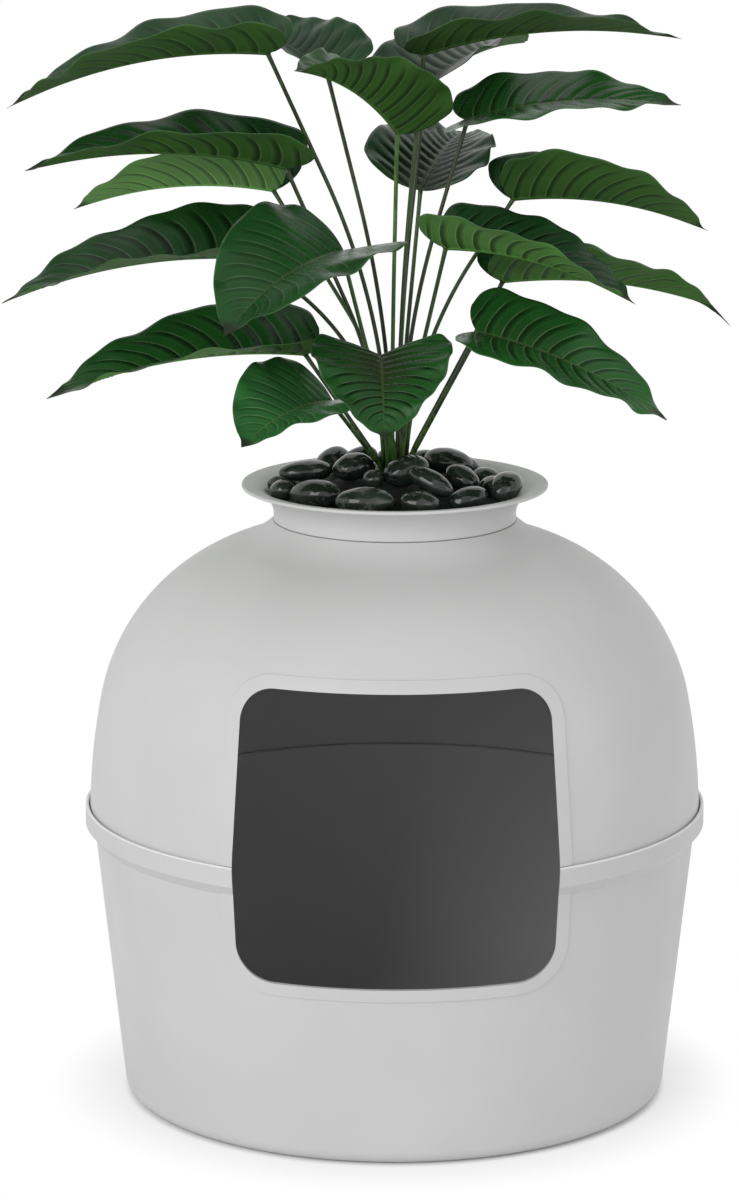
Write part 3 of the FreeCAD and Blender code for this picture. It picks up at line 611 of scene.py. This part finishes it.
def unit_ball(steps):
    """Vertices and faces of an icosphere."""
    work = bmesh.new()
    bmesh.ops.create_icosphere(work, subdivisions=steps, radius=1.0)
    work.verts.ensure_lookup_table()
    verts = [tuple(v.co) for v in work.verts]
    faces = [[v.index for v in f.verts] for f in work.faces]
    work.free()
    return verts, faces


def make_pebbles(settings):
    """Uneven polished stones in the place, size and tilt of the CAD pebbles."""
    material = pebble_finish(settings)
    ball, ball_faces = unit_ball(BALL_STEPS)
    for node in PEBBLE_NODES:
        verts, faces, seeds = [], [], []
        for number, cloud in enumerate(islands(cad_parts[node].data)):
            centre = (cloud.min(axis=0) + cloud.max(axis=0)) / 2
            axes = np.linalg.svd(cloud - centre, full_matrices=False)[2]
            half = np.abs((cloud - centre) @ axes.T).max(axis=0)
            seed = STONE_SEED * (number + 1) + GROUP_SEED * PEBBLE_NODES.index(node)
            start = len(verts)
            for spot in ball:
                way = Vector(spot)
                lump = noise.noise(way * LUMP_SCALE + Vector((seed, 0.0, seed * 0.7)))
                lump += FINE_LUMP_SHARE * noise.noise(way * FINE_LUMP_SCALE + Vector((0.0, seed, 0.0)))
                swell = 1.0 - settings.wear * (0.25 - 0.75 * lump)
                verts.append(centre + (np.array(spot) * half * min(swell, SWELL_MAX)) @ axes)
            faces += [[start + i for i in face] for face in ball_faces]
            seeds += [seed] * len(ball)
        new_piece(node + "_polished", verts, faces, {"stone_seed": seeds}, material,
                  "planter", "pebble_stone", node)


def rising(value, run):
    """Zero to one as a value goes from zero to the end of a run."""
    return np.clip(value / run, 0, 1)


def flow(places, knots, values):
    """Smooth curve through given points, by cubic pieces with slopes taken from the neighbours."""
    slopes = np.gradient(values, knots)
    index = np.clip(np.searchsorted(knots, places, side="right") - 1, 0, len(knots) - 2)
    width = knots[index + 1] - knots[index]
    x = (places - knots[index]) / width
    start = values[index] * (2 * x ** 3 - 3 * x ** 2 + 1) + slopes[index] * width * (x ** 3 - 2 * x ** 2 + x)
    end = values[index + 1] * (3 * x ** 2 - 2 * x ** 3)
    return start + end + slopes[index + 1] * width * (x ** 3 - x ** 2)


class Leaf:
    """Frame of one leaf, with its midrib as an arc that droops from the junction to the tip."""

    def __init__(self, index):
        shares = LEAF_SHARES[index]
        droop, fold, roll = LEAF_BEND_SHARES[index]
        self.sweep = LEAF_DROOP_ANGLE * droop
        self.fold = LEAF_FOLD_ANGLE * fold
        self.roll = LEAF_ROLL_ANGLE * roll
        scale = np.array((PLANT_REACH, PLANT_REACH, PLANT_HEIGHT))
        self.base = np.array(shares[0:3]) * scale + np.array((0, 0, RIM_TOP))
        span = (np.array(shares[3:6]) - np.array(shares[0:3])) * scale
        run = math.hypot(span[0], span[1])
        self.head = np.array((span[0] / run, span[1] / run, 0.0))
        self.start = math.atan2(span[2], run) + self.sweep / 2
        self.length = np.linalg.norm(span) * (self.sweep / 2) / math.sin(self.sweep / 2)
        self.half = LEAF_WIDTH * shares[6] / 2
        self.bow = shares[7]

    def midrib(self, place):
        """Points of the midrib with their forward, sideways and upward directions."""
        place = np.asarray(place, dtype=float)[..., None]
        up = np.array((0.0, 0.0, 1.0))
        pitch = self.start - self.sweep * np.maximum(place, 0)
        straight = self.length * place
        radius = self.length / self.sweep
        along = np.where(place < 0, straight * np.cos(pitch), radius * (np.sin(self.start) - np.sin(pitch)))
        rise = np.where(place < 0, straight * np.sin(pitch), radius * (np.cos(pitch) - np.cos(self.start)))
        tangent = self.head * np.cos(pitch) + up * np.sin(pitch)
        normal = up * np.cos(pitch) - self.head * np.sin(pitch)
        side = np.cross(tangent, normal)
        spot = self.base + self.head * along + up * rise
        lean_cos, lean_sin = math.cos(self.roll), math.sin(self.roll)
        return spot, tangent, side * lean_cos + normal * lean_sin, normal * lean_cos - side * lean_sin

    def surface(self, place, across):
        """Points of the folded heart, place along the midrib and across from -1 to 1."""
        edge_place = flow(place, HEART_SHARES[:, 0], HEART_SHARES[:, 1])
        edge_share = np.maximum(flow(place, HEART_SHARES[:, 0], HEART_SHARES[:, 2]), EDGE_SHARE_MIN)
        bow = np.abs(across)
        bow = bow + bow * (1 - bow) * np.clip(1 - place / NOTCH_RUN, 0, 1)
        along = place + (edge_place - place) * bow
        out = edge_share * self.half * across
        spot, tangent, side, normal = self.midrib(along)
        fold = self.fold * (1 - LEAF_FLATTEN_SHARE * np.maximum(along, 0))
        depth = np.hypot(out, LEAF_KEEL) - LEAF_KEEL
        lift = np.sin(fold) * depth * (1 - LEAF_FLATTEN_SHARE * np.abs(out) / self.half / 2)
        return spot + side * (np.cos(fold) * out)[..., None] + normal * lift[..., None]


def blade_faces():
    """Faces of a closed blade: its upper and lower grids, its two long edges and its two ends."""
    count = LEAF_ROWS * LEAF_COLUMNS
    faces = []
    for i in range(LEAF_ROWS - 1):
        for j in range(LEAF_COLUMNS - 1):
            a, b = i * LEAF_COLUMNS + j, (i + 1) * LEAF_COLUMNS + j
            faces.append((a, a + 1, b + 1, b))
            faces.append((count + a, count + b, count + b + 1, count + a + 1))
    for i in range(LEAF_ROWS - 1):
        for j in (0, LEAF_COLUMNS - 1):
            a, b = i * LEAF_COLUMNS + j, (i + 1) * LEAF_COLUMNS + j
            quad = (a, b, count + b, count + a)
            faces.append(quad if j == 0 else quad[::-1])
    for j in range(LEAF_COLUMNS - 1):
        for i in (0, LEAF_ROWS - 1):
            a = i * LEAF_COLUMNS + j
            quad = (a, count + a, count + a + 1, a + 1)
            faces.append(quad if i == 0 else quad[::-1])
    return faces


def edge_ripple(index, place, across):
    """Waves along a leaf's edge, different on its two halves and on each leaf."""
    rng = np.random.default_rng(WAVE_SEED + index)
    phases = rng.uniform(0, 2 * np.pi, 4)
    counts = rng.uniform(*WAVE_COUNTS, 2)
    side = (across > 0).astype(float)
    ripple = np.sin(2 * np.pi * counts[0] * place + phases[0] + side * phases[1])
    fine = np.sin(2 * np.pi * (counts[1] + FINE_WAVE_EXTRA) * place + phases[2] + side * phases[3])
    return ripple + FINE_WAVE_SHARE * fine


def make_leaf(index, settings, material):
    """One leaf: pleated, wavy at its edge, with a midrib that stands out below and a dry tail."""
    tone, under_tone, brown, grey, pleat_share = LEAF_TONE_SHARES[index]
    tail_start, tail_narrowing, tail_drop = LONG_TAILS.get(index, LEAF_TAIL)
    rows = np.linspace(0.0, 1.0, LEAF_ROWS) ** ROW_POWER
    columns = np.linspace(-1, 1, LEAF_COLUMNS)
    columns = np.sign(columns) * np.abs(columns) ** COLUMN_POWER
    place, across = np.meshgrid(rows, columns, indexing="ij")
    reach = np.abs(across)
    tail = rising(place - tail_start, 1 - tail_start)
    slim = rising(tail, TAIL_TAPER)
    skin = Leaf(index).surface(place, across * (1 - tail_narrowing * slim ** 2 * (3 - 2 * slim)))
    skin[..., 2] -= tail_drop * tail ** 2
    normal = np.cross(np.gradient(skin, axis=1), np.gradient(skin, axis=0))
    normal /= np.maximum(np.linalg.norm(normal, axis=-1, keepdims=True), 1e-12)

    vein = place + VEIN_STAGGER * np.sign(across) - VEIN_SWEEP * reach ** VEIN_POWER + VEIN_SHIFT
    vein = settings.veins * vein
    pleat = np.abs(np.sin(np.pi * vein)) ** PLEAT_POWER - PLEAT_LEVEL
    fade = rising(reach, PLEAT_FADES[0]) * rising(1.0 - reach, PLEAT_FADES[1]) ** PLEAT_EDGE_POWER
    fade *= rising(place, PLEAT_FADES[2]) * rising(1 - place, PLEAT_FADES[3])
    edge = settings.wave * edge_ripple(index, place, across) * reach ** WAVE_EDGE_POWER
    edge = edge * rising(place, WAVE_FADES[0]) * rising(1 - place, WAVE_FADES[1])
    groove = -MIDRIB_GROOVE[0] * np.exp(-(reach / MIDRIB_GROOVE[1]) ** 2) * (1 - place)
    skin = skin + normal * (settings.pleat * pleat_share * pleat * fade + edge + groove)[..., None]
    ridge = MIDRIB_RIDGE[0] * np.exp(-(reach / MIDRIB_RIDGE[1]) ** 2) * (1 - place) ** 0.6
    thick = LEAF_THICKNESS * (1 - THIN_EDGE_SHARE * reach)
    thick = thick * np.clip((1 - place) / TIP_RUN, TIP_THICKNESS_SHARE, 1)
    top = skin + normal * (thick / 2)[..., None]
    low = skin - normal * (thick / 2 + ridge)[..., None]

    count = place.size
    attributes = {
        "leaf_along": np.tile(place.ravel(), 2),
        "leaf_across": np.tile(across.ravel(), 2),
        "leaf_vein": np.tile(vein.ravel(), 2) + VEIN_PHASE,
        "leaf_upper": np.repeat((1.0, 0.0), count),
        "leaf_tone": np.repeat((tone, under_tone), count),
        "leaf_pleat": np.full(2 * count, pleat_share),
        "leaf_brown": np.full(2 * count, brown),
        "leaf_grey": np.full(2 * count, grey),
        "leaf_tail": np.tile(tail.ravel(), 2),
    }
    verts = np.concatenate((top.reshape(-1, 3), low.reshape(-1, 3)))
    name = "leaf_%02d" % (index + 1)
    new_piece(name + "_blade", verts, blade_faces(), attributes, material, "plant", "leaf_plastic", name)


def leaf_bearing(index):
    """Direction of a leaf's junction from the axis."""
    return math.atan2(LEAF_SHARES[index][1], LEAF_SHARES[index][0]) % (2 * math.pi)


def socket_place(index):
    """Foot of a stem and the height where it bends; a ring is in the order of its leaves' bearings."""
    inner = index < INNER_RING_COUNT
    radius, foot, bend_start = INNER_RING if inner else OUTER_RING
    ring = range(INNER_RING_COUNT) if inner else range(INNER_RING_COUNT, len(LEAF_SHARES))
    angle = 2 * math.pi * sorted(ring, key=leaf_bearing).index(index) / len(ring)
    return np.array((radius * math.cos(angle), radius * math.sin(angle), foot)), bend_start


def stem_path(index):
    """Points of a stem: upright in its socket, bent over in an arc, then straight to the leaf's notch."""
    leaf = Leaf(index)
    floor, bend_start = socket_place(index)
    _, tangent, _, normal = leaf.midrib(0.0)
    heading = leaf.head
    up = np.array((0.0, 0.0, 1.0))
    for _ in range(STEM_PASSES):
        tilt = math.acos(max(-1.0, min(1.0, float(heading @ normal))))
        forward = tangent * STEM_RADIUS * math.cos(tilt)
        end = leaf.base + forward - normal * (STEM_SEAT + STEM_RADIUS * math.sin(tilt))
        flat = (end - floor) * np.array((1.0, 1.0, 0.0))
        reach, rise = float(np.linalg.norm(flat)), float(end[2] - bend_start)
        bow = max(STEM_BEND_MIN, leaf.bow * (reach ** 2 + rise ** 2) / (2 * reach))
        bend = math.acos(-bow / math.hypot(reach - bow, rise)) - math.atan2(rise, reach - bow)
        outward = flat / reach
        heading = outward * math.sin(bend) + up * math.cos(bend)
    start = np.array((floor[0], floor[1], bend_start))
    run = np.linspace(0, bend, STEM_STEPS // 2)[:, None]
    arc = start + outward * (bow * (1 - np.cos(run))) + up * (bow * np.sin(run))
    line = arc[-1] + (end - arc[-1]) * np.linspace(0, 1, STEM_STEPS // 2)[1:, None]
    return np.concatenate(([floor], arc, line))


def make_stem(index, material):
    """One stem: flat like a sheath round the bundle at its foot, with a swelling where it meets the leaf."""
    path = stem_path(index)
    steps = np.concatenate(([0.0], np.cumsum(np.linalg.norm(np.diff(path, axis=0), axis=1))))
    total = steps[-1]
    tangent = np.gradient(path, axis=0)
    tangent /= np.linalg.norm(tangent, axis=1, keepdims=True)
    across = np.array((path[0][0], path[0][1], 0.0)) / np.hypot(path[0][0], path[0][1])
    verts, rises = [], []
    for point, way, run in zip(path, tangent, steps):
        across = across - way * (across @ way)
        across /= np.linalg.norm(across)
        other = np.cross(way, across)
        foot = STEM_FOOT[0] * math.exp(-run / STEM_FOOT[1])
        thick = STEM_RADIUS * (STEM_SLIM_SHARE + foot + STEM_TOP[0] * math.exp(-(total - run) / STEM_TOP[1]))
        flat = thick * (1 + STEM_SHEATH[0] * math.exp(-(run / STEM_SHEATH[1]) ** 2))
        for k in range(STEM_SIDES):
            turn = 2 * math.pi * k / STEM_SIDES
            verts.append(point + across * (math.cos(turn) * thick) + other * (math.sin(turn) * flat))
            rises.append(point[2] - path[0][2])
    faces = []
    for i in range(len(path) - 1):
        for k in range(STEM_SIDES):
            a, b = i * STEM_SIDES + k, i * STEM_SIDES + (k + 1) % STEM_SIDES
            faces.append((a, b, b + STEM_SIDES, a + STEM_SIDES))
    faces.append(tuple(reversed(range(STEM_SIDES))))
    faces.append(tuple(range((len(path) - 1) * STEM_SIDES, len(path) * STEM_SIDES)))
    name = "stem_%02d" % (index + 1)
    attributes = {"stem_rise": rises, "stem_light": [STEM_LIGHT_SHARES[index]] * len(verts)}
    new_piece(name + "_round", verts, faces, attributes, material, "plant", "stem_plastic", name)


def seen_directly(tree):
    """Socket that is one for rays from the camera, a gloss or a clear piece, and zero for rays that light."""
    rays = tree.nodes.new("ShaderNodeLightPath")
    seen = rays.outputs["Is Camera Ray"]
    for kind in ("Is Glossy Ray", "Is Transmission Ray"):
        larger = tree.nodes.new("ShaderNodeMath")
        larger.operation = "MAXIMUM"
        tree.links.new(seen, larger.inputs[0])
        tree.links.new(rays.outputs[kind], larger.inputs[1])
        seen = larger.outputs[0]
    return seen


def make_surround(sky):
    """White surround that is seen at full strength and lights the object at its own."""
    world = bpy.data.worlds.new("studio")
    world.use_nodes = True
    tree = world.node_tree
    back = tree.nodes["Background"]
    strength = tree.nodes.new("ShaderNodeMix")
    strength.inputs[2].default_value = sky
    strength.inputs[3].default_value = 1.0
    tree.links.new(seen_directly(tree), strength.inputs[0])
    tree.links.new(strength.outputs[0], back.inputs["Strength"])
    back.inputs["Color"].default_value = (1.0, 1.0, 1.0, 1.0)
    bpy.context.scene.world = world


def make_floor():
    """Pale floor, seen as white apart from a soft dark ring where the tub stands."""
    corners = [(x * FLOOR_HALF, y * FLOOR_HALF, 0) for x, y in ((-1, -1), (1, -1), (1, 1), (-1, 1))]
    mesh = bpy.data.meshes.new("floor")
    mesh.from_pydata(corners, [], [(0, 1, 2, 3)])
    floor = bpy.data.objects.new("floor", mesh)
    bpy.context.scene.collection.objects.link(floor)
    floor.location.z = CAD_BOX[0].z - FLOOR_GAP
    finish = Finish("pale_floor")
    finish.set(Base_Color=(0.9, 0.9, 0.9, 1.0), Roughness=0.8, Specular_IOR_Level=0.1)
    glow = finish.node("ShaderNodeEmission", {"Color": (1.0, 1.0, 1.0, 1.0), "Strength": 1.0})
    away = finish.vector("LENGTH", finish.node("ShaderNodeTexCoord").outputs["Object"])
    shadow = finish.math("MULTIPLY", finish.span(away, *CONTACT_SHADOW), finish.span(away, *SOFT_SHADOW))
    share = finish.math("MULTIPLY", seen_directly(finish.tree), shadow)
    mixed = finish.node("ShaderNodeMixShader", {0: share, 1: finish.shader.outputs[0], 2: glow.outputs[0]})
    finish.tree.links.new(mixed.outputs[0], finish.tree.nodes["Material Output"].inputs["Surface"])
    mesh.materials.append(finish.material)


def make_lamp(name, power, width, place):
    """One large soft lamp that faces the object."""
    light = bpy.data.lights.new(name, "AREA")
    light.size = width
    light.energy = power
    lamp = bpy.data.objects.new(name, light)
    lamp.location = place
    lamp.rotation_euler = (Vector(LAMP_TARGET) - lamp.location).to_track_quat("-Z", "Y").to_euler()
    bpy.context.scene.collection.objects.link(lamp)


def make_camera(settings):
    """The camera, level from side to side and tilted down."""
    lens = bpy.data.cameras.new("camera")
    lens.lens = settings.lens
    lens.sensor_width = SENSOR_WIDTH
    camera = bpy.data.objects.new("camera", lens)
    camera.location = settings.camera_place
    camera.rotation_euler = (math.pi / 2 - settings.camera_pitch, 0.0, 0.0)
    bpy.context.scene.collection.objects.link(camera)
    bpy.context.scene.camera = camera


def make_stage(settings):
    """White surround and floor, a key lamp at the front left, a weaker one at the right, and the camera."""
    bpy.context.scene.view_settings.view_transform = "Standard"
    make_surround(settings.sky)
    make_floor()
    make_lamp("key", settings.key, KEY_WIDTH, KEY_PLACE)
    make_lamp("fill", settings.fill, FILL_WIDTH, FILL_PLACE)
    make_camera(settings)


class LITTERBOX_OT_shells(bpy.types.Operator):
    """Give the tub, dome, pot and foam their finishes"""
    bl_idname = "litterbox.shells"
    bl_label = "Finish shells"

    def execute(self, context):
        material = shell_finish(context.scene.litter_box.shell)
        for node in SHELL_NODES:
            dress(node, material)
        dress("foam_block", foam_finish())
        return {"FINISHED"}


class LITTERBOX_OT_pebbles(bpy.types.Operator):
    """Lay polished pebbles in the place of the CAD stones"""
    bl_idname = "litterbox.pebbles"
    bl_label = "Make pebbles"

    def execute(self, context):
        make_pebbles(context.scene.litter_box.pebble)
        return {"FINISHED"}


class LITTERBOX_OT_stems(bpy.types.Operator):
    """Draw the plant's stems and give its trunk the same finish"""
    bl_idname = "litterbox.stems"
    bl_label = "Make stems"

    def execute(self, context):
        material = stem_finish(context.scene.litter_box.plant)
        dress("plant_trunk", material)
        for index in range(len(LEAF_SHARES)):
            make_stem(index, material)
        return {"FINISHED"}


class LITTERBOX_OT_leaves(bpy.types.Operator):
    """Build the pleated leaves"""
    bl_idname = "litterbox.leaves"
    bl_label = "Make leaves"

    def execute(self, context):
        settings = context.scene.litter_box.plant
        material = leaf_finish(settings)
        for index in range(len(LEAF_SHARES)):
            make_leaf(index, settings, material)
        return {"FINISHED"}


class LITTERBOX_OT_stage(bpy.types.Operator):
    """Set the floor, the light and the camera"""
    bl_idname = "litterbox.stage"
    bl_label = "Set stage"

    def execute(self, context):
        make_stage(context.scene.litter_box.stage)
        return {"FINISHED"}


class LITTERBOX_PT_sidebar(bpy.types.Panel):
    """Buttons and settings of the litter box"""
    bl_label = "Litter Box"
    bl_idname = "LITTERBOX_PT_sidebar"
    bl_space_type = "VIEW_3D"
    bl_region_type = "UI"
    bl_category = "Litter Box"

    def draw(self, context):
        layout = self.layout
        settings = context.scene.litter_box
        for title, group in (("Shells", settings.shell), ("Pebbles", settings.pebble),
                             ("Plant", settings.plant), ("Stage", settings.stage)):
            box = layout.box()
            box.label(text=title)
            for key in group.__annotations__:
                box.prop(group, key)
        for operator in OPERATORS:
            layout.operator(operator.bl_idname)


GROUPS = (ShellSettings, PebbleSettings, PlantSettings, StageSettings, LitterBoxSettings)
OPERATORS = (LITTERBOX_OT_stage, LITTERBOX_OT_shells, LITTERBOX_OT_pebbles, LITTERBOX_OT_stems,
             LITTERBOX_OT_leaves)
CLASSES = GROUPS + OPERATORS + (LITTERBOX_PT_sidebar,)


def register():
    """Add the settings, operators and sidebar."""
    for kind in CLASSES:
        bpy.utils.register_class(kind)
    bpy.types.Scene.litter_box = bpy.props.PointerProperty(
        name="Litter box", description="Settings of the litter box", type=LitterBoxSettings)


def unregister():
    """Take them away again."""
    del bpy.types.Scene.litter_box
    for kind in reversed(CLASSES):
        bpy.utils.unregister_class(kind)


def main():
    """Build everything on the frame."""
    register()
    bpy.ops.litterbox.stage()
    bpy.ops.litterbox.shells()
    bpy.ops.litterbox.pebbles()
    bpy.ops.litterbox.stems()
    bpy.ops.litterbox.leaves()


if __name__ == "__main__":
    main()
